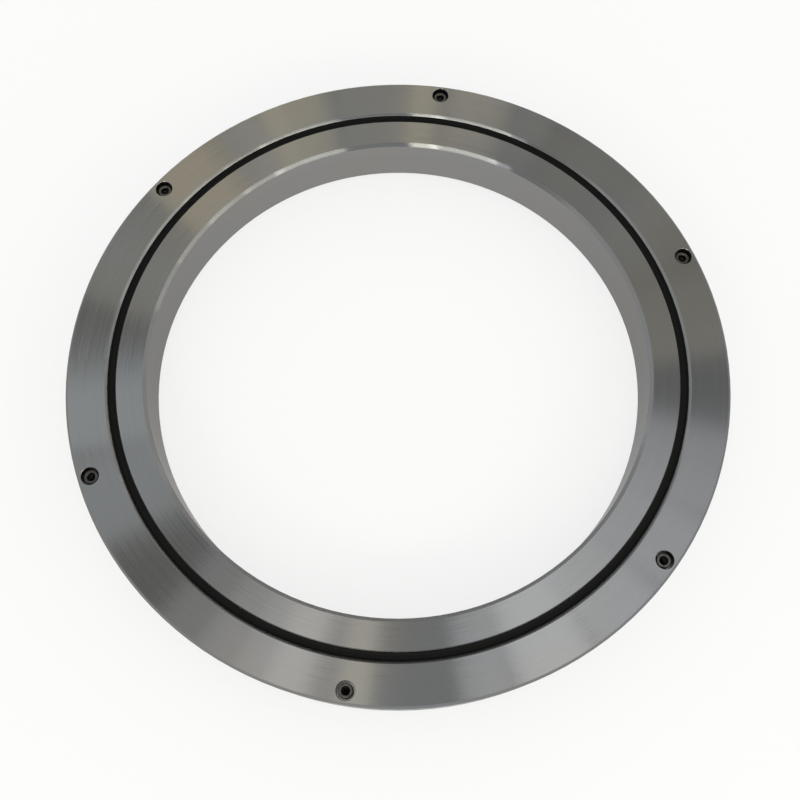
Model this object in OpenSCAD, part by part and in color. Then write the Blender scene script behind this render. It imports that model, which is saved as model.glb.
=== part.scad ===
// Crossed roller bearing with a split outer ring. Rollers lie in a square channel between
// two V raceways, each leaning the other way from the next, with saddle spacers between
// them. Screws clamp the halves of the outer ring, and a lip seal closes each side.
// Millimetres. The bearing turns about +Z and its lower faces stand on z = 0.

/* [Rings] */
// Bore diameter of the inner ring
bore_d = 300; // [264:1:360]
// Width of both rings
width = 35; // [32:0.5:45]
// Radial height of the inner ring, from its bore to its shoulder
inner_section = 18; // [15.5:0.5:26]
// Radial height of the outer ring, from its shoulder to its outside
outer_section = 24.5; // [22.5:0.5:34]
// Radial gap between the shoulders of the two rings
shoulder_gap = 5; // [4:0.1:6]
// Chamfer on the corners of the bore
bore_chamfer = 2; // [0.5:0.1:3]
// Chamfer on the corners of the outside
outside_chamfer = 1.5; // [0.5:0.1:2]
// Chamfer on the inner ring's shoulder edges
inner_shoulder_chamfer = 0.5; // [0.2:0.1:1]
// Chamfer on the outer ring's shoulder edges
outer_shoulder_chamfer = 1.3; // [0.3:0.1:1.6]
// Chamfer on the edges where the halves of the outer ring meet
parting_chamfer = 0.3; // [0.1:0.1:0.5]

/* [Raceways and rollers] */
// Number of rollers, half of them leaning out and half leaning in
roller_count = 52; // [44:2:52]
// Diameter of a roller
roller_d = 16; // [13:0.25:17.5]
// How much shorter a roller is than its diameter
roller_shortening = 0.4; // [0.2:0.1:1]
// Chamfer on the roller ends
roller_chamfer = 0.8; // [0.3:0.1:1.2]
// Clearance between a roller and the raceway it rolls on
raceway_clearance = 0.3; // [0.25:0.05:0.5]
// Width of the relief groove along the bottom of a raceway
relief_w = 4; // [3:0.25:5]
// Depth of the relief groove below the point of the V
relief_depth = 0.5; // [0.2:0.1:1]

/* [Spacers] */
// How far the rims of a spacer's saddles reach past the nearest point of the roller
saddle_depth = 2.7; // [1.5:0.1:3.5]
// Clearance between a saddle and its roller
saddle_clearance = 0.3; // [0.25:0.05:0.5]
// Clearance between the side of a spacer and the raceways
spacer_side_clearance = 0.8; // [0.4:0.1:1.5]

/* [Clamp screws] */
// Number of screws
screw_count = 6; // [4:1:12]
// Angle of the first screw, anticlockwise from +X seen from above
first_screw_angle = 82; // [0:1:90]
// Thickness of the wall between a counterbore and the outside
screw_wall = 2.3; // [1.6:0.1:4]
// Thread diameter
screw_d = 5; // [4:0.5:6]
// Chamfer on the screw's end
screw_tip_chamfer = 0.75; // [0.3:0.05:1]
// Depth of the thread's grip in the lower half
thread_grip = 9.1; // [6:0.1:10]
// Diameter of the head
head_d = 8.5; // [7.5:0.25:9.5]
// Height of the head
head_h = 5; // [4:0.25:6]
// Chamfer around the top of the head
head_chamfer = 0.4; // [0.2:0.1:0.8]
// Width of the hexagon socket across its flats
socket_w = 4; // [3:0.25:4.5]
// Depth of the hexagon socket
socket_depth = 2.5; // [1.5:0.25:3]
// Width of the chamfer around the socket's corners
socket_chamfer = 0.3; // [0.1:0.05:0.4]
// Depth of the head's top below the ring's face
head_recess = 2.6; // [0.5:0.1:3.5]
// Clearance around the head in its counterbore
head_clearance = 0.95; // [0.3:0.05:1]
// Chamfer around the mouth of a counterbore
counterbore_chamfer = 0.25; // [0.1:0.05:0.4]
// Clearance around the screw in the upper half
shank_clearance = 0.25; // [0.1:0.05:0.5]
// Clearance around the screw in its tapped hole, in place of a cut thread
thread_clearance = 0.1; // [0.05:0.05:0.2]
// Depth of the tapped hole below the screw's end
tapped_spare = 3; // [1:0.5:4]
// Angle of the drill points at the bottom of the tapped holes and sockets
drill_point_angle = 118; // [90:1:140]

/* [Seals] */
// Depth of a seal below the ring's face
seal_recess = 2; // [1.7:0.1:2.2]
// Thickness of the seal's bead, which fills its groove
seal_bead_t = 2.4; // [1.8:0.1:2.6]
// Depth of the seal's groove into the outer ring
seal_groove_depth = 2.5; // [1.5:0.1:3.5]
// Clearance around the bead at the bottom of its groove
seal_fit_clearance = 0.1; // [0.05:0.05:0.3]
// How far the bead stands out of its groove into the gap
seal_bead_stand = 0.6; // [0.2:0.1:1]
// Thickness of the web between bead and lip
seal_web_t = 1.2; // [0.8:0.1:1.5]
// Radial length of the slanting lip
seal_lip_length = 1.4; // [0.8:0.1:1.8]
// Thickness of the lip at its tip
seal_lip_t = 0.7; // [0.4:0.1:1]
// Clearance between the lip and the inner ring
seal_lip_clearance = 0.3; // [0.2:0.05:0.5]

/* [Lubrication] */
// Width of the oil groove around the outside
oil_groove_w = 6; // [4:0.5:8]
// Depth of the oil groove
oil_groove_depth = 1.5; // [1:0.1:2]
// Chamfer on the edges of the oil groove
oil_groove_chamfer = 0.4; // [0.2:0.1:0.6]
// Diameter of an oil hole
oil_hole_d = 3; // [2:0.25:3.5]
// Chamfer around the mouth of an oil hole
oil_hole_chamfer = 0.5; // [0.2:0.1:0.8]
// Number of oil holes
oil_hole_count = 3; // [1:1:6]

/* [Hidden] */
$fn = 96;
steel = [0.56, 0.56, 0.54];
bright_steel = [0.68, 0.68, 0.68];
black_oxide = [0.16, 0.16, 0.15];
black_rubber = [0.05, 0.05, 0.05];
ivory_plastic = [0.84, 0.8, 0.68];
cut = 1;

mid_z = width / 2;
bore_r = bore_d / 2;
inner_shoulder_r = bore_r + inner_section;
pitch_r = inner_shoulder_r + shoulder_gap / 2;
outer_shoulder_r = inner_shoulder_r + shoulder_gap;
outside_r = outer_shoulder_r + outer_section;

// A raceway is a cone at 45 degrees: the points of the Vs lie this far from the pitch circle
v_reach = (roller_d / 2 + raceway_clearance) * sqrt(2);
inner_v_r = pitch_r - v_reach;
outer_v_r = pitch_r + v_reach;
shoulder_z = v_reach - shoulder_gap / 2;

roller_length = roller_d - roller_shortening;
pitch_angle = 360 / roller_count;
roller_spacing = 2 * pitch_r * sin(pitch_angle / 2);

spacer_d = roller_d + 2 * raceway_clearance - 2 * spacer_side_clearance;
spacer_length = roller_spacing - roller_d + 2 * saddle_depth;

counterbore_d = head_d + 2 * head_clearance;
screw_circle_r = outside_r - screw_wall - counterbore_d / 2;
head_seat_z = width - head_recess - head_h;
screw_end_z = mid_z - thread_grip;
screw_length = head_seat_z - screw_end_z;
tapped_end_z = screw_end_z - tapped_spare;
tapped_d = screw_d + 2 * thread_clearance;
drill_point_h = tapped_d / 2 / tan(drill_point_angle / 2);

socket_corner_r = socket_w / 2 / cos(30);
socket_point_h = socket_w / 2 / tan(drill_point_angle / 2);
socket_mouth_h = socket_corner_r - socket_w / 2 + socket_chamfer;

seal_top = mid_z - seal_recess;
seal_bottom = seal_top - seal_bead_t;
seal_groove_r = outer_shoulder_r + seal_groove_depth;
lip_r = inner_shoulder_r + seal_lip_clearance;

oil_floor_r = outside_r - oil_groove_depth;
oil_turn = 180 / screw_count;

function roller_name(i) = str("roller_", i < 10 ? "0" : "", i);
function lean(i) = i % 2 == 0 ? -1 : 1;

// Puts its children on each screw's axis, with z still measured from the lower face
module at_screws() {
    for (i = [0 : screw_count - 1])
        rotate([0, 0, first_screw_angle - i * 360 / screw_count])
            translate([screw_circle_r, 0, 0])
                children();
}

// Puts its children on a roller's centre with z along the roller's own axis
module at_roller(i) {
    rotate([0, 0, (i - 1) * pitch_angle])
        translate([pitch_r, 0, mid_z])
            rotate([0, lean(i) * 45, 0])
                children();
}

// Radial oil holes in the plane where the two halves meet
module oil_holes() {
    for (i = [0 : oil_hole_count - 1])
        rotate([0, 0, first_screw_angle + oil_turn + i * 360 / oil_hole_count])
            translate([outer_shoulder_r, 0, mid_z])
                rotate([0, 90, 0]) {
                    cylinder(d = oil_hole_d, h = outer_section + cut);
                    translate([0, 0, outer_section - oil_groove_depth - oil_hole_chamfer])
                        cylinder(d1 = oil_hole_d, d2 = oil_hole_d + 2 * (oil_hole_chamfer + cut),
                            h = oil_hole_chamfer + cut);
                }
}

// Half of the outer ring, from the middle plane at z = 0 up to its face
module outer_half() {
    rotate_extrude()
        polygon([
            [outer_v_r + relief_depth, 0],
            [oil_floor_r - parting_chamfer, 0],
            [oil_floor_r, parting_chamfer],
            [oil_floor_r, oil_groove_w / 2],
            [outside_r - oil_groove_chamfer, oil_groove_w / 2],
            [outside_r, oil_groove_w / 2 + oil_groove_chamfer],
            [outside_r, mid_z - outside_chamfer],
            [outside_r - outside_chamfer, mid_z],
            [outer_shoulder_r + outer_shoulder_chamfer, mid_z],
            [outer_shoulder_r, mid_z - outer_shoulder_chamfer],
            [outer_shoulder_r, seal_top],
            [seal_groove_r, seal_top],
            [seal_groove_r, seal_bottom],
            [outer_shoulder_r, seal_bottom],
            [outer_shoulder_r, shoulder_z],
            [outer_v_r - relief_w / 2, relief_w / 2],
            [outer_v_r + relief_depth, relief_w / 2],
        ]);
}

// Lip seal, measured up from the middle plane
module seal() {
    bead_outer_r = seal_groove_r - seal_fit_clearance;
    bead_inner_r = outer_shoulder_r - seal_bead_stand;
    web_inset = (seal_bead_t - seal_web_t) / 2;
    web_outer_r = bead_inner_r - web_inset;
    lip_root_r = lip_r + seal_lip_length;
    rotate_extrude()
        polygon([
            [bead_inner_r, seal_bottom],
            [bead_outer_r, seal_bottom],
            [bead_outer_r, seal_top],
            [bead_inner_r, seal_top],
            [web_outer_r, seal_top - web_inset],
            [lip_root_r, seal_top - web_inset],
            [lip_r, seal_top],
            [lip_r, seal_top - seal_lip_t],
            [lip_root_r, seal_bottom + web_inset],
            [web_outer_r, seal_bottom + web_inset],
        ]);
}

// One socket-head screw standing on its axis, with its end at z = 0
module screw() {
    difference() {
        rotate_extrude()
            polygon([
                [0, 0],
                [screw_d / 2 - screw_tip_chamfer, 0],
                [screw_d / 2, screw_tip_chamfer],
                [screw_d / 2, screw_length],
                [head_d / 2, screw_length],
                [head_d / 2, screw_length + head_h - head_chamfer],
                [head_d / 2 - head_chamfer, screw_length + head_h],
                [0, screw_length + head_h],
            ]);
        translate([0, 0, screw_length + head_h]) {
            translate([0, 0, -socket_depth])
                cylinder(r = socket_corner_r, h = socket_depth + cut, $fn = 6);
            translate([0, 0, -socket_depth - socket_point_h])
                cylinder(d1 = 0, d2 = socket_w, h = socket_point_h);
            translate([0, 0, -socket_mouth_h])
                cylinder(r1 = socket_w / 2, r2 = socket_w / 2 + socket_mouth_h + cut, h = socket_mouth_h + cut);
        }
    }
}

// Puck between a roller and the next, hollowed by both into saddles that cross
module spacer(i) {
    difference() {
        rotate([0, 0, (i - 0.5) * pitch_angle])
            translate([pitch_r, 0, mid_z])
                rotate([90, 0, 0])
                    cylinder(d = spacer_d, h = spacer_length, center = true);
        for (k = [i, i + 1])
            at_roller(k)
                cylinder(d = roller_d + 2 * saddle_clearance, h = 2 * roller_d, center = true);
    }
}

module inner_ring() {
    color(steel)
        rotate_extrude()
            polygon([
                [bore_r + bore_chamfer, 0],
                [inner_shoulder_r - inner_shoulder_chamfer, 0],
                [inner_shoulder_r, inner_shoulder_chamfer],
                [inner_shoulder_r, mid_z - shoulder_z],
                [inner_v_r + relief_w / 2, mid_z - relief_w / 2],
                [inner_v_r - relief_depth, mid_z - relief_w / 2],
                [inner_v_r - relief_depth, mid_z + relief_w / 2],
                [inner_v_r + relief_w / 2, mid_z + relief_w / 2],
                [inner_shoulder_r, mid_z + shoulder_z],
                [inner_shoulder_r, width - inner_shoulder_chamfer],
                [inner_shoulder_r - inner_shoulder_chamfer, width],
                [bore_r + bore_chamfer, width],
                [bore_r, width - bore_chamfer],
                [bore_r, bore_chamfer],
            ]);
}

module outer_ring_upper() {
    color(steel)
        difference() {
            translate([0, 0, mid_z])
                outer_half();
            at_screws() {
                translate([0, 0, head_seat_z])
                    cylinder(d = counterbore_d, h = width);
                translate([0, 0, width - counterbore_chamfer])
                    cylinder(d1 = counterbore_d, d2 = counterbore_d + 2 * (counterbore_chamfer + cut),
                        h = counterbore_chamfer + cut);
                cylinder(d = screw_d + 2 * shank_clearance, h = width);
            }
            oil_holes();
        }
}

module outer_ring_lower() {
    color(steel)
        difference() {
            translate([0, 0, mid_z])
                mirror([0, 0, 1])
                    outer_half();
            at_screws() {
                translate([0, 0, tapped_end_z])
                    cylinder(d = tapped_d, h = width);
                translate([0, 0, tapped_end_z - drill_point_h])
                    cylinder(d1 = 0, d2 = tapped_d, h = drill_point_h);
            }
            oil_holes();
        }
}

module clamp_screws() {
    color(black_oxide)
        at_screws()
            translate([0, 0, screw_end_z])
                screw();
}

module upper_seal() {
    color(black_rubber)
        translate([0, 0, mid_z])
            seal();
}

module lower_seal() {
    color(black_rubber)
        translate([0, 0, mid_z])
            mirror([0, 0, 1])
                seal();
}

module spacers() {
    color(ivory_plastic)
        for (i = [1 : roller_count])
            spacer(i);
}

module roller(i) {
    r = roller_d / 2;
    half = roller_length / 2;
    color(bright_steel)
        at_roller(i)
            rotate_extrude()
                polygon([
                    [0, -half],
                    [r - roller_chamfer, -half],
                    [r, roller_chamfer - half],
                    [r, half - roller_chamfer],
                    [r - roller_chamfer, half],
                    [0, half],
                ]);
}

inner_ring();
outer_ring_upper();
outer_ring_lower();
clamp_screws();
upper_seal();
lower_seal();
spacers();
for (i = [1 : roller_count])
    roller(i);
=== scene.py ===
"""Crossed roller bearing: finishes the solids of the frame and sets up a plain studio."""

import math

import bpy
import bmesh
from mathutils import Matrix, Vector


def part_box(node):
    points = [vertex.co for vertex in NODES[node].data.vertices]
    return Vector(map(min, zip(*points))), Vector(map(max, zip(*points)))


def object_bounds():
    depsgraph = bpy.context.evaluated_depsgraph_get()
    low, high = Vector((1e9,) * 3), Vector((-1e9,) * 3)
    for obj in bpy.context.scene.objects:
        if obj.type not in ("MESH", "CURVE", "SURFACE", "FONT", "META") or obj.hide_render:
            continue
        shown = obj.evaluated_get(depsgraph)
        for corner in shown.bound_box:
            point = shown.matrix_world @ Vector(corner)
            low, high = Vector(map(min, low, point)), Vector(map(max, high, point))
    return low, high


bl_info = {
    "name": "Crossed Roller Bearing",
    "version": (1, 0, 0),
    "blender": (4, 5, 0),
    "location": "View3D > Sidebar > Bearing",
    "description": "Finishes the steel, rubber and plastic of a crossed roller bearing and lights it",
    "category": "Object",
}

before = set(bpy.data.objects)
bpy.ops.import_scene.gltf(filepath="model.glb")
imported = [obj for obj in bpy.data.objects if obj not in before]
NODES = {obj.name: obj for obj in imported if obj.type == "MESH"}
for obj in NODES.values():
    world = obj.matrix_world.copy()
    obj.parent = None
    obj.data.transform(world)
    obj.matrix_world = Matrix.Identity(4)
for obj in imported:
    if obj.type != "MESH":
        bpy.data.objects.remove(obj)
CAD_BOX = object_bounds()
MM = 0.001

RINGS = ("inner_ring", "outer_ring_upper", "outer_ring_lower")
SEALS = ("upper_seal", "lower_seal")
ROLLERS = tuple(sorted(name for name in NODES if name.startswith("roller_")))

OUTSIDE_RADIUS = CAD_BOX[1][0]
TOP_HEIGHT = CAD_BOX[1][2]
MIDDLE_HEIGHT = TOP_HEIGHT / 2


# Colours and nodes

def linear(hex_colour):
    """An sRGB hex colour as linear red, green, blue and alpha."""
    def channel(text):
        value = int(text, 16) / 255
        return value / 12.92 if value <= 0.04045 else ((value + 0.055) / 1.055) ** 2.4

    digits = hex_colour.lstrip("#")
    return tuple(channel(digits[i:i + 2]) for i in (0, 2, 4)) + (1.0,)


def add(tree, kind, links=(), values=(), stops=(), **settings):
    """Adds a node, sets its properties, socket values and colour stops, and links its sockets."""
    made = tree.nodes.new(kind)
    for name, value in settings.items():
        setattr(made, name, value)
    for socket, value in dict(values).items():
        made.inputs[socket].default_value = value
    for socket, source in dict(links).items():
        tree.links.new(source, made.inputs[socket])
    for i, (position, colour) in enumerate(stops):
        ramp = made.color_ramp.elements
        stop = ramp[i] if i < 2 else ramp.new(position)
        stop.position, stop.color = position, colour
    return made


def new_material(name):
    """A material with an empty node tree, and that tree."""
    material = bpy.data.materials.new(name)
    material.use_nodes = True
    tree = material.node_tree
    tree.nodes.clear()
    return material, tree


def finish_material(tree, shader):
    """Links a shader to a new output node."""
    add(tree, "ShaderNodeOutputMaterial", {"Surface": shader.outputs[0]})


def dress(names, material):
    """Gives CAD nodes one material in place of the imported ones."""
    for name in names:
        slots = NODES[name].data.materials
        slots.clear()
        slots.append(material)


# Properties

def colour_property(name, description, hex_colour):
    """A colour that the user can pick, with its sRGB default."""
    return bpy.props.FloatVectorProperty(
        name=name, description=description, default=linear(hex_colour), subtype="COLOR", size=4, min=0, max=1)


class BearingFinish(bpy.types.PropertyGroup):
    """Colours and surface sizes of the bearing."""

    steel_colour: colour_property("Ground steel", "Colour of the rings' bare steel", "#949494")
    # painted shade: the chamfers are drawn darker, partly for their turned skin and partly as painted shade
    chamfer_turned_and_shaded_colour: colour_property("Chamfer steel", "Colour of the rings' chamfers", "#7c7c7c")
    # painted shade: the bore's walls and the oil groove are drawn darker than the faces, as painted shade
    bore_shaded_colour: colour_property("Bore steel", "Colour of the bore's wall and of the oil groove", "#8f8d8b")
    edge_tint: colour_property("Grazing tint", "Colour of the steel's reflection at a low angle", "#c8c8c8")
    film_warm: colour_property("Warm film", "Tint of the oil film where it looks warm", "#fffdf8")
    film_cool: colour_property("Cool film", "Tint of the oil film where it looks cool", "#fafdff")
    rubber_colour: colour_property("Seal rubber", "Colour of the lip seals", "#080808")
    rubber_bloom: colour_property("Rubber bloom", "Colour of the seals where they have bloomed", "#0d0d0c")
    oxide_colour: colour_property("Black oxide", "Colour of the clamp screws", "#262524")
    # painted light: the tops of the screw heads are drawn in this lighter grey, as a painted highlight
    oxide_painted_light: colour_property("Oxide painted light", "Colour of the screws where the oxide is thin", "#62615e")
    nylon_colour: colour_property("Spacer nylon", "Colour of the spacers", "#d9cfae")
    nylon_shade: colour_property("Nylon shade", "Colour of the spacers where they are cloudier", "#cdc29e")
    roller_colour: colour_property("Roller steel", "Colour of the ground rollers", "#bbbbb9")
    roller_shade: colour_property("Roller shade", "Colour of the rollers where oil dulls them", "#acaba7")
    lay_spacing: bpy.props.FloatProperty(
        name="Grinding lay", description="Distance from one grinding line to the next",
        default=0.9 * MM, unit="LENGTH", subtype="DISTANCE")
    scratch_spacing: bpy.props.FloatProperty(
        name="Scratches", description="Distance from one grain's scratch to the next",
        default=0.2 * MM, unit="LENGTH", subtype="DISTANCE")


class BearingStudio(bpy.types.PropertyGroup):
    """Camera and light of the studio."""

    lens: bpy.props.FloatProperty(
        name="Lens", description="Focal length on a sensor 36 mm wide", default=43.68,
        unit="CAMERA", subtype="DISTANCE_CAMERA")
    eye: bpy.props.FloatVectorProperty(
        name="Eye", description="Place of the camera", default=(0.0050, -0.2086, 0.5751),
        unit="LENGTH", subtype="XYZ")
    aim: bpy.props.FloatVectorProperty(
        name="Aim", description="Point that the camera looks at", default=(0.00153, -0.02408, 0.035),
        unit="LENGTH", subtype="XYZ")
    roll: bpy.props.FloatProperty(
        name="Roll", description="Turn of the camera about its own line of sight",
        default=math.radians(0.475), subtype="ANGLE")
    wall_level: bpy.props.FloatProperty(
        name="Walls", description="Level of the room's white walls", default=1.0, min=0)
    ceiling_level: bpy.props.FloatProperty(
        name="Ceiling", description="Level of the room's grey ceiling", default=0.28, min=0)
    fan_height: bpy.props.FloatProperty(
        name="Fan height", description="Height of the fan of softboxes above the bearing",
        default=1.5, unit="LENGTH", subtype="DISTANCE")
    fan_inner: bpy.props.FloatProperty(
        name="Fan inner radius", description="Where the softboxes begin, from the fan's middle",
        default=0.2, unit="LENGTH", subtype="DISTANCE")
    fan_outer: bpy.props.FloatProperty(
        name="Fan outer radius", description="Where the softboxes end, from the fan's middle",
        default=1.15, unit="LENGTH", subtype="DISTANCE")


# Materials

NOISE_SPAN = {"From Min": 0.3, "From Max": 0.7}  # where nearly all of a noise texture's values lie

RIM_SKIN = 0.25 * MM  # depth below the outside that is still its ground skin
GROOVE_TOP, GROOVE_BOTTOM = 0.4 * MM, 2.6 * MM  # depths below the outside between which the oil groove lies
GROOVE_REACH = 3.05 * MM  # how far the oil groove reaches up and down from the middle
GROOVE_OIL_AND_SHADE = 0.7  # share of the steel's colour kept in the oil groove, partly for its oil and turned skin and partly as painted shade in the recess
FILM_PATCH = 120 * MM  # width of a patch of the oil film
LINE_CELLS, SCRATCH_CELLS = 0.6, 0.2  # changes along a grinding line and along a scratch, in one radian
SCRATCH_LEAN = 0.05  # steepest slope of a scratch's side


def object_place(tree):
    """The place of a point on the unturned piece."""
    return add(tree, "ShaderNodeTexCoord").outputs["Object"]


def ring_coordinates(tree, place):
    """Radius, height and angle of a place about the bearing's axis, and the direction around the axis."""
    parts = add(tree, "ShaderNodeSeparateXYZ", {"Vector": place})
    flat = add(tree, "ShaderNodeCombineXYZ", {"X": parts.outputs["X"], "Y": parts.outputs["Y"]})
    radius = add(tree, "ShaderNodeVectorMath", {0: flat.outputs[0]}, operation="LENGTH")
    angle = add(tree, "ShaderNodeMath", {0: parts.outputs["Y"], 1: parts.outputs["X"]}, operation="ARCTAN2")
    lay = add(tree, "ShaderNodeCombineXYZ", {
        "X": radius.outputs["Value"], "Y": parts.outputs["Z"], "Z": angle.outputs[0]})
    around = add(tree, "ShaderNodeVectorMath", {1: flat.outputs[0]}, {0: (0, 0, 1)},
                 operation="CROSS_PRODUCT")
    turned = add(tree, "ShaderNodeVectorTransform", {"Vector": around.outputs[0]}, vector_type="VECTOR",
                 convert_from="OBJECT", convert_to="WORLD")
    return lay.outputs[0], turned.outputs[0]


def steel_tone(tree, finish, lay, side):
    """Colour of the rings' steel: flat faces and the outside are ground bright; the other upright walls, such
    as the bore, are painted darker as shade, the chamfers are darker partly for their turned skin and partly
    as painted shade, and the oil groove is darker partly for its oil and turned skin and partly as painted
    shade.
    """
    polar = add(tree, "ShaderNodeSeparateXYZ", {"Vector": lay})
    tilt = add(tree, "ShaderNodeSeparateXYZ", {"Vector": side.outputs["True Normal"]})
    flat = add(tree, "ShaderNodeMath", {0: tilt.outputs["Z"]}, operation="ABSOLUTE")
    rim = add(tree, "ShaderNodeMath", {0: polar.outputs["X"]}, {1: OUTSIDE_RADIUS - RIM_SKIN},
              operation="GREATER_THAN")
    # the faces and the outside keep the bright steel; every other surface gets a darker stop below, which is
    # painted shade
    ground = add(tree, "ShaderNodeMath", {0: flat.outputs[0], 1: rim.outputs[0]}, operation="MAXIMUM")
    # upright walls lie near 0, chamfers of 45 degrees at 0.7 and flat faces at 1
    # painted shade: the walls' stop is darker than the faces', and the chamfers' stop is darker partly for
    # their turned skin and partly as painted shade
    tone = add(tree, "ShaderNodeValToRGB", {"Fac": ground.outputs[0]}, stops=(
        (0.1, finish.bore_shaded_colour), (0.95, finish.steel_colour), (0.7, finish.chamfer_turned_and_shaded_colour)))
    # the oil groove around the outside is drawn darker, partly for the dull oil and turned skin of the lathe
    # and partly as painted shade in the recess
    deep = add(tree, "ShaderNodeMath", {0: polar.outputs["X"]}, {
        1: OUTSIDE_RADIUS - (GROOVE_BOTTOM + GROOVE_TOP) / 2, 2: (GROOVE_BOTTOM - GROOVE_TOP) / 2},
        operation="COMPARE")
    level = add(tree, "ShaderNodeMath", {0: polar.outputs["Y"]}, {1: MIDDLE_HEIGHT, 2: GROOVE_REACH},
                operation="COMPARE")
    groove = add(tree, "ShaderNodeMath", {0: deep.outputs[0], 1: level.outputs[0]}, operation="MULTIPLY")
    # painted shade: the colour in the groove is scaled down, partly for its oil and turned skin and partly as
    # shade in the recess
    oil_and_shade = add(tree, "ShaderNodeMapRange", {"Value": groove.outputs[0]}, {
        "To Min": 1.0, "To Max": GROOVE_OIL_AND_SHADE})
    dulled_and_shaded = add(tree, "ShaderNodeVectorMath", {0: tone.outputs["Color"], "Scale": oil_and_shade.outputs[0]},
                 operation="SCALE")
    return dulled_and_shaded.outputs[0]


def leaning_normal(tree, finish, lay, around, side):
    """The surface as single grains scratched it: it leans across the lay, which spreads a light that way."""
    # real scratches lie a few hundredths of a millimetre apart; these are coarser, so that they show
    grain = add(tree, "ShaderNodeMapping", {"Vector": lay}, {
        "Scale": (1 / finish.scratch_spacing, 1 / finish.scratch_spacing, SCRATCH_CELLS)})
    scratches = add(tree, "ShaderNodeTexNoise", {"Vector": grain.outputs[0]}, {"Scale": 1.0, "Detail": 1.0})
    lean = add(tree, "ShaderNodeMapRange", {"Value": scratches.outputs["Fac"]}, {
        **NOISE_SPAN, "To Min": -SCRATCH_LEAN, "To Max": SCRATCH_LEAN})
    across = add(tree, "ShaderNodeVectorMath", {0: around, 1: side.outputs["Normal"]},
                 operation="CROSS_PRODUCT")
    across = add(tree, "ShaderNodeVectorMath", {0: across.outputs[0]}, operation="NORMALIZE")
    leaning = add(tree, "ShaderNodeVectorMath", {0: across.outputs[0], "Scale": lean.outputs[0]},
                  operation="SCALE")
    normal = add(tree, "ShaderNodeVectorMath", {0: leaning.outputs[0], 1: side.outputs["Normal"]},
                 operation="ADD")
    return add(tree, "ShaderNodeVectorMath", {0: normal.outputs[0]}, operation="NORMALIZE").outputs[0]


def ground_steel(finish):
    """Bearing steel ground in circles: grey, with fine rings that stretch each light into a fan of rays."""
    material, tree = new_material("bearing_steel_circular_ground")
    place = object_place(tree)
    lay, around = ring_coordinates(tree, place)
    side = add(tree, "ShaderNodeNewGeometry")
    # a thin oil film tints the steel in wide patches
    film = add(tree, "ShaderNodeTexNoise", {"Vector": place}, {"Scale": 1 / FILM_PATCH, "Detail": 2.0})
    tint = add(tree, "ShaderNodeValToRGB", {"Fac": film.outputs["Fac"]}, stops=(
        (0.38, finish.film_warm), (0.62, finish.film_cool)))
    # grinding lines are long around the axis and narrow across it, and coarser than real so that they show
    stretch = add(tree, "ShaderNodeMapping", {"Vector": lay}, {
        "Scale": (1 / finish.lay_spacing, 1 / finish.lay_spacing, LINE_CELLS)})
    lines = add(tree, "ShaderNodeTexNoise", {"Vector": stretch.outputs[0]}, {"Scale": 1.0, "Detail": 3.0})
    shade = add(tree, "ShaderNodeMapRange", {"Value": lines.outputs["Fac"]}, {
        **NOISE_SPAN, "To Min": 0.97, "To Max": 1.03})
    rough = add(tree, "ShaderNodeMapRange", {"Value": lines.outputs["Fac"]}, {
        **NOISE_SPAN, "To Min": 0.14, "To Max": 0.16})
    filmed = add(tree, "ShaderNodeVectorMath", {
        0: steel_tone(tree, finish, lay, side), 1: tint.outputs["Color"]}, operation="MULTIPLY")
    colour = add(tree, "ShaderNodeVectorMath", {0: filmed.outputs[0], "Scale": shade.outputs[0]},
                 operation="SCALE")
    shader = add(tree, "ShaderNodeBsdfPrincipled", {
        "Base Color": colour.outputs[0], "Roughness": rough.outputs[0],
        "Normal": leaning_normal(tree, finish, lay, around, side), "Tangent": around,
    }, {"Metallic": 1.0, "Anisotropic": 1.0, "Anisotropic Rotation": 0.25, "Specular Tint": finish.edge_tint})
    finish_material(tree, shader)
    return material


def seal_rubber(finish):
    """Moulded nitrile rubber: black with a satin skin and a faint grain."""
    material, tree = new_material("nitrile_rubber_moulded")
    grain = add(tree, "ShaderNodeTexNoise", {"Vector": object_place(tree)}, {
        "Scale": 1 / (1.2 * MM), "Detail": 4.0})
    colour = add(tree, "ShaderNodeValToRGB", {"Fac": grain.outputs["Fac"]}, stops=(
        (0.35, finish.rubber_colour), (0.7, finish.rubber_bloom)))
    rough = add(tree, "ShaderNodeMapRange", {"Value": grain.outputs["Fac"]}, {"To Min": 0.46, "To Max": 0.62})
    bump = add(tree, "ShaderNodeBump", {"Height": grain.outputs["Fac"]}, {
        "Strength": 0.15, "Distance": 0.05 * MM})
    shader = add(tree, "ShaderNodeBsdfPrincipled", {
        "Base Color": colour.outputs["Color"], "Roughness": rough.outputs[0], "Normal": bump.outputs[0],
    }, {"Specular IOR Level": 0.15})
    finish_material(tree, shader)
    return material


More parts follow.
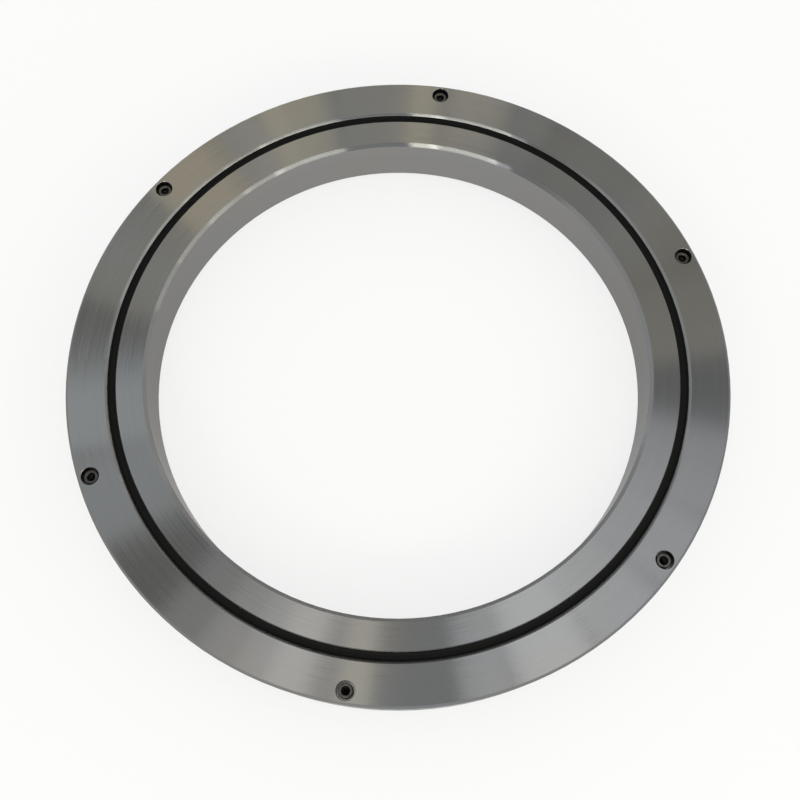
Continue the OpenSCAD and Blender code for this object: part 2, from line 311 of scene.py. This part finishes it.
def black_oxide_steel(finish):
    """Blackened steel of the screws: dark and satin, with the tops of the heads painted a lighter grey in
    random patches, as a painted highlight.
    """
    material, tree = new_material("steel_black_oxide")
    place = object_place(tree)
    patch = add(tree, "ShaderNodeTexNoise", {"Vector": place}, {"Scale": 1 / (2 * MM), "Detail": 3.0})
    height = add(tree, "ShaderNodeSeparateXYZ", {"Vector": place})
    heads_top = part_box("clamp_screws")[1][2]
    # painted light: the top face of each head is drawn lighter grey, in random patches, as a painted
    # highlight
    head_top_face = add(tree, "ShaderNodeMapRange", {"Value": height.outputs["Z"]}, {
        "From Min": heads_top - 0.3 * MM, "From Max": heads_top - 0.05 * MM})
    painted_light_patches = add(tree, "ShaderNodeMath", {0: head_top_face.outputs[0], 1: patch.outputs["Fac"]}, operation="MULTIPLY")
    colour = add(tree, "ShaderNodeValToRGB", {"Fac": painted_light_patches.outputs[0]}, stops=(
        (0.05, finish.oxide_colour), (0.6, finish.oxide_painted_light)))
    rough = add(tree, "ShaderNodeMapRange", {"Value": patch.outputs["Fac"]}, {"To Min": 0.24, "To Max": 0.40})
    shader = add(tree, "ShaderNodeBsdfPrincipled", {
        "Base Color": colour.outputs["Color"], "Roughness": rough.outputs[0]}, {"Metallic": 1.0})
    finish_material(tree, shader)
    return material


def spacer_nylon(finish):
    """Moulded nylon: ivory, slightly waxy."""
    material, tree = new_material("nylon_moulded_ivory")
    cloud = add(tree, "ShaderNodeTexNoise", {"Vector": object_place(tree)}, {
        "Scale": 1 / (4 * MM), "Detail": 2.0})
    colour = add(tree, "ShaderNodeValToRGB", {"Fac": cloud.outputs["Fac"]}, stops=(
        (0.35, finish.nylon_shade), (0.65, finish.nylon_colour)))
    rough = add(tree, "ShaderNodeMapRange", {"Value": cloud.outputs["Fac"]}, {"To Min": 0.38, "To Max": 0.5})
    shader = add(tree, "ShaderNodeBsdfPrincipled", {
        "Base Color": colour.outputs["Color"], "Roughness": rough.outputs[0]})
    finish_material(tree, shader)
    return material


def roller_steel(finish):
    """Hardened roller steel, fine ground: brighter and smoother than the rings."""
    material, tree = new_material("roller_steel_fine_ground")
    cloud = add(tree, "ShaderNodeTexNoise", {"Vector": object_place(tree)}, {
        "Scale": 1 / (3 * MM), "Detail": 3.0})
    colour = add(tree, "ShaderNodeValToRGB", {"Fac": cloud.outputs["Fac"]}, stops=(
        (0.35, finish.roller_shade), (0.65, finish.roller_colour)))
    rough = add(tree, "ShaderNodeMapRange", {"Value": cloud.outputs["Fac"]}, {"To Min": 0.16, "To Max": 0.24})
    shader = add(tree, "ShaderNodeBsdfPrincipled", {
        "Base Color": colour.outputs["Color"], "Roughness": rough.outputs[0]}, {"Metallic": 1.0})
    finish_material(tree, shader)
    return material


# Operators

class BEARING_OT_rings(bpy.types.Operator):
    """Finish the inner ring and both halves of the outer ring in ground steel"""

    bl_idname = "bearing.rings"
    bl_label = "Finish Rings"

    def execute(self, context):
        dress(RINGS, ground_steel(context.scene.bearing_finish))
        return {"FINISHED"}


class BEARING_OT_seals(bpy.types.Operator):
    """Finish both lip seals in rubber"""

    bl_idname = "bearing.seals"
    bl_label = "Finish Seals"

    def execute(self, context):
        dress(SEALS, seal_rubber(context.scene.bearing_finish))
        return {"FINISHED"}


class BEARING_OT_screws(bpy.types.Operator):
    """Finish the clamp screws in black oxide"""

    bl_idname = "bearing.screws"
    bl_label = "Finish Screws"

    def execute(self, context):
        dress(("clamp_screws",), black_oxide_steel(context.scene.bearing_finish))
        return {"FINISHED"}


class BEARING_OT_rollers(bpy.types.Operator):
    """Finish the rollers in ground steel and the spacers in nylon"""

    bl_idname = "bearing.rollers"
    bl_label = "Finish Rollers and Spacers"

    def execute(self, context):
        finish = context.scene.bearing_finish
        dress(ROLLERS, roller_steel(finish))
        dress(("spacers",), spacer_nylon(finish))
        return {"FINISHED"}


# Studio

# Heights between which the walls turn into the ceiling
WALL_TOP, CEILING_EDGE = math.radians(20), math.radians(45)

FLOOR_HALF = 6.0  # half of the floor's side
FLOOR_DROP = 0.2 * MM  # gap between the bearing and the floor, so that their faces don't fight
PAPER_GREY = "#8c8c8c"  # colour in which the floor shows the lamps' light, with room left for its own white
# painted shade: the floor's own white is lower near the bearing and grows outwards
PAPER_NEAR, PAPER_FAR = 0.3, 3.0  # distances between which the floor's own white grows
SHADED_WHITE_NEAR, WHITE_FAR = 0.74, 0.91  # the floor's own white near the bearing, lowered there as painted shade, and where it meets the walls

WHITE, WARM, SOFT, COOL = "#ffffff", "#fff0cb", "#fffbea", "#e8f5ff"

FAN_OVERLAP = 1.5  # degrees by which a box of the fan laps over its neighbours

# Softboxes of the fan above the bearing: start and end in degrees from +X about the fan's middle,
# level (1 shows as white), tint
FAN = (
    (2, 21, 0.25, WARM),
    (21, 60, 0.20, SOFT),
    (60, 67, 0.30, SOFT),
    (67, 82, 0.50, WARM),
    (82, 88, 0.85, WARM),
    (88, 103, 0.35, SOFT),
    (103, 118, 0.65, WARM),
    (118, 127, 0.40, SOFT),
    (127, 144, 0.65, WARM),
    (144, 168, 0.30, SOFT),
    (181, 197, 0.60, COOL),
    (197, 215, 0.45, COOL),
    (229, 236, 0.30, WHITE),
    (236, 243, 0.55, WHITE),
    (243, 248, 0.75, WHITE),
    (248, 256, 1.05, WHITE),
    (256, 260, 0.40, WHITE),
    (260, 266, 0.85, SOFT),
    (266, 280, 0.20, WHITE),
    (280, 289, 0.75, WHITE),
    (289, 304, 1.15, WHITE),
    (304, 318, 0.85, WHITE),
    (318, 333, 0.70, WHITE),
    (333, 343, 0.55, WHITE),
    (343, 348, 0.45, WHITE),
)

LOW_DISTANCE = 1.6  # from the bearing's middle to each box that is turned to it

# Softboxes turned to the bearing, low ones that light the chamfers and fills for the faces: name, azimuth and
# height in degrees, width and depth in metres, level, tint
LOW_BOXES = (
    ("low_left_start", 234, 32, 0.18, 0.30, 1.6, WHITE),
    ("low_left", 247, 33, 0.56, 0.30, 3.6, SOFT),
    ("low_left_edge", 261, 34, 0.22, 0.30, 5.4, SOFT),
    ("low_right", 301, 32, 0.60, 0.30, 3.2, SOFT),
    ("low_right_edge", 318, 30, 0.36, 0.30, 2.4, SOFT),
    ("low_right_tail", 332, 28, 0.40, 0.30, 1.8, SOFT),
    ("low_right_end", 347, 25, 0.42, 0.30, 1.2, SOFT),
    ("low_right_last", 2, 22, 0.42, 0.30, 0.8, SOFT),
    ("front_fill", 270, 54, 1.50, 0.70, 0.5, WHITE),
    ("left_fill", 180, 42, 1.40, 0.60, 0.5, WHITE),
    ("right_fill", 0, 42, 1.40, 0.60, 0.5, WHITE),
)

# Narrow strips behind the bearing, which its faces show as rays when they are seen from other sides
BACK_STRIPS = tuple(
    ("back_strip_%03d" % azimuth, azimuth, 29, 0.16, 0.50, 1.4, WHITE) for azimuth in range(50, 141, 30))


class BEARING_OT_stage(bpy.types.Operator):
    """Set up the floor, the softboxes, the room and the camera"""

    bl_idname = "bearing.stage"
    bl_label = "Set Up Studio"

    def execute(self, context):
        scene = context.scene
        studio = scene.bearing_studio
        scene.view_settings.view_transform = "Standard"
        self.room(scene, studio)
        self.floor(scene)
        for box in FAN:
            self.fan_box(scene, studio, *box)
        for box in LOW_BOXES + BACK_STRIPS:
            self.turned_box(scene, *box)
        self.camera(scene, studio)
        return {"FINISHED"}

    def room(self, scene, studio):
        """White walls all round, which turn into a grey ceiling."""
        world = bpy.data.worlds.new("studio_room")
        world.use_nodes = True
        tree = world.node_tree
        tree.nodes.clear()
        way = add(tree, "ShaderNodeTexCoord")
        parts = add(tree, "ShaderNodeSeparateXYZ", {"Vector": way.outputs["Generated"]})
        level = add(tree, "ShaderNodeMapRange", {"Value": parts.outputs["Z"]}, {
            "From Min": math.sin(WALL_TOP), "From Max": math.sin(CEILING_EDGE),
            "To Min": studio.wall_level, "To Max": studio.ceiling_level})
        light = add(tree, "ShaderNodeBackground", {"Strength": level.outputs[0]}, {"Color": linear(WHITE)})
        add(tree, "ShaderNodeOutputWorld", {"Surface": light.outputs[0]})
        scene.world = world

    def floor(self, scene):
        """A floor that shows as white paper and keeps a soft shadow."""
        mesh = bpy.data.meshes.new("studio_floor")
        shape = bmesh.new()
        bmesh.ops.create_grid(shape, x_segments=1, y_segments=1, size=FLOOR_HALF,
                              matrix=Matrix.Translation((0, 0, -FLOOR_DROP)))
        shape.to_mesh(mesh)
        shape.free()
        mesh.materials.append(self.paper())
        floor = bpy.data.objects.new("studio_floor", mesh)
        scene.collection.objects.link(floor)

    def paper(self):
        """Matt paper with a white of its own, which the camera and the steel see and which lights nothing;
        near the bearing that white is weaker, as painted shade.
        """
        material, tree = new_material("white_paper_sweep")
        matt = add(tree, "ShaderNodeBsdfDiffuse", values={"Color": linear(PAPER_GREY)})
        ray = add(tree, "ShaderNodeLightPath")
        seen = add(tree, "ShaderNodeMath", {0: ray.outputs["Is Camera Ray"], 1: ray.outputs["Is Glossy Ray"]},
                   operation="MAXIMUM")
        seen = add(tree, "ShaderNodeMath", {0: seen.outputs[0], 1: ray.outputs["Is Transmission Ray"]},
                   operation="MAXIMUM")
        # it is weaker near the bearing, a painted shade around it which leaves room for the lamps' light and
        # the real shadow
        reach = add(tree, "ShaderNodeVectorMath", {0: object_place(tree)}, operation="LENGTH")
        white = add(tree, "ShaderNodeMapRange", {"Value": reach.outputs["Value"]}, {
            "From Min": PAPER_NEAR, "From Max": PAPER_FAR, "To Min": SHADED_WHITE_NEAR, "To Max": WHITE_FAR})
        strength = add(tree, "ShaderNodeMath", {0: seen.outputs[0], 1: white.outputs[0]},
                       operation="MULTIPLY")
        glow = add(tree, "ShaderNodeEmission", {"Strength": strength.outputs[0]}, {"Color": linear(WHITE)})
        finish_material(tree, add(tree, "ShaderNodeAddShader", {0: matt.outputs[0], 1: glow.outputs[0]}))
        return material

    def softbox(self, scene, name, width, depth, level, tint, placing):
        """A rectangular lamp, with the power at which it shows as a surface of the level."""
        lamp = bpy.data.lights.new(name, "AREA")
        lamp.shape = "RECTANGLE"
        lamp.size, lamp.size_y = width, depth
        lamp.energy = level * math.pi * width * depth
        lamp.color = linear(tint)[:3]
        holder = bpy.data.objects.new(name, lamp)
        holder.matrix_world = placing
        scene.collection.objects.link(holder)

    def fan_box(self, scene, studio, start, end, level, tint):
        """One softbox of the fan, which hangs where the rings' faces mirror it into the camera."""
        eye = Vector(studio.eye)
        reach = studio.fan_height / (eye.z - TOP_HEIGHT)
        middle = Vector((-eye.x * reach, -eye.y * reach, TOP_HEIGHT + studio.fan_height))
        radius = (studio.fan_inner + studio.fan_outer) / 2
        angle, spread = math.radians((start + end) / 2), math.radians(end - start + FAN_OVERLAP)
        arm = Vector((math.cos(angle), math.sin(angle), 0)) * radius
        self.softbox(scene, "fan_%03d" % start, studio.fan_outer - studio.fan_inner,
                     2 * radius * math.tan(spread / 2), level, tint,
                     Matrix.Translation(middle + arm) @ Matrix.Rotation(angle, 4, "Z"))

    def turned_box(self, scene, name, azimuth, height, width, depth, level, tint):
        """One softbox turned to the bearing."""
        turn, rise = math.radians(azimuth), math.radians(height)
        back = Vector((math.cos(turn) * math.cos(rise), math.sin(turn) * math.cos(rise), math.sin(rise)))
        facing = (-back).to_track_quat("-Z", "Y").to_matrix().to_4x4()
        self.softbox(scene, name, width, depth, level, tint,
                     Matrix.Translation(back * LOW_DISTANCE) @ facing)

    def camera(self, scene, studio):
        """The camera at the photograph's angle."""
        lens = bpy.data.cameras.new("studio_camera")
        lens.lens = studio.lens
        lens.sensor_width = 36
        lens.clip_start, lens.clip_end = 0.01, 50
        holder = bpy.data.objects.new("studio_camera", lens)
        eye, aim = Vector(studio.eye), Vector(studio.aim)
        back = (eye - aim).normalized()
        right = Vector((0, 1, 0)).cross(back).normalized()
        up = back.cross(right)
        turn = Matrix((right, up, back)).transposed() @ Matrix.Rotation(studio.roll, 3, "Z")
        holder.matrix_world = Matrix.Translation(eye) @ turn.to_4x4()
        scene.collection.objects.link(holder)
        scene.camera = holder


class BEARING_PT_panel(bpy.types.Panel):
    """Lists the bearing's finishes and steps"""

    bl_idname = "BEARING_PT_panel"
    bl_label = "Crossed Roller Bearing"
    bl_space_type = "VIEW_3D"
    bl_region_type = "UI"
    bl_category = "Bearing"

    def draw(self, context):
        for group in (context.scene.bearing_finish, context.scene.bearing_studio):
            for name in group.bl_rna.properties.keys():
                if name not in ("rna_type", "name"):
                    self.layout.prop(group, name)
        for step in STEPS:
            self.layout.operator(step.bl_idname)


STEPS = (BEARING_OT_rings, BEARING_OT_seals, BEARING_OT_screws, BEARING_OT_rollers, BEARING_OT_stage)
CLASSES = (BearingFinish, BearingStudio) + STEPS + (BEARING_PT_panel,)


def register():
    for kind in CLASSES:
        bpy.utils.register_class(kind)
    bpy.types.Scene.bearing_finish = bpy.props.PointerProperty(type=BearingFinish)
    bpy.types.Scene.bearing_studio = bpy.props.PointerProperty(type=BearingStudio)


def unregister():
    del bpy.types.Scene.bearing_studio
    del bpy.types.Scene.bearing_finish
    for kind in reversed(CLASSES):
        bpy.utils.unregister_class(kind)


def main():
    register()
    for step in STEPS:
        group, name = step.bl_idname.split(".")
        getattr(getattr(bpy.ops, group), name)()


if __name__ == "__main__":
    main()
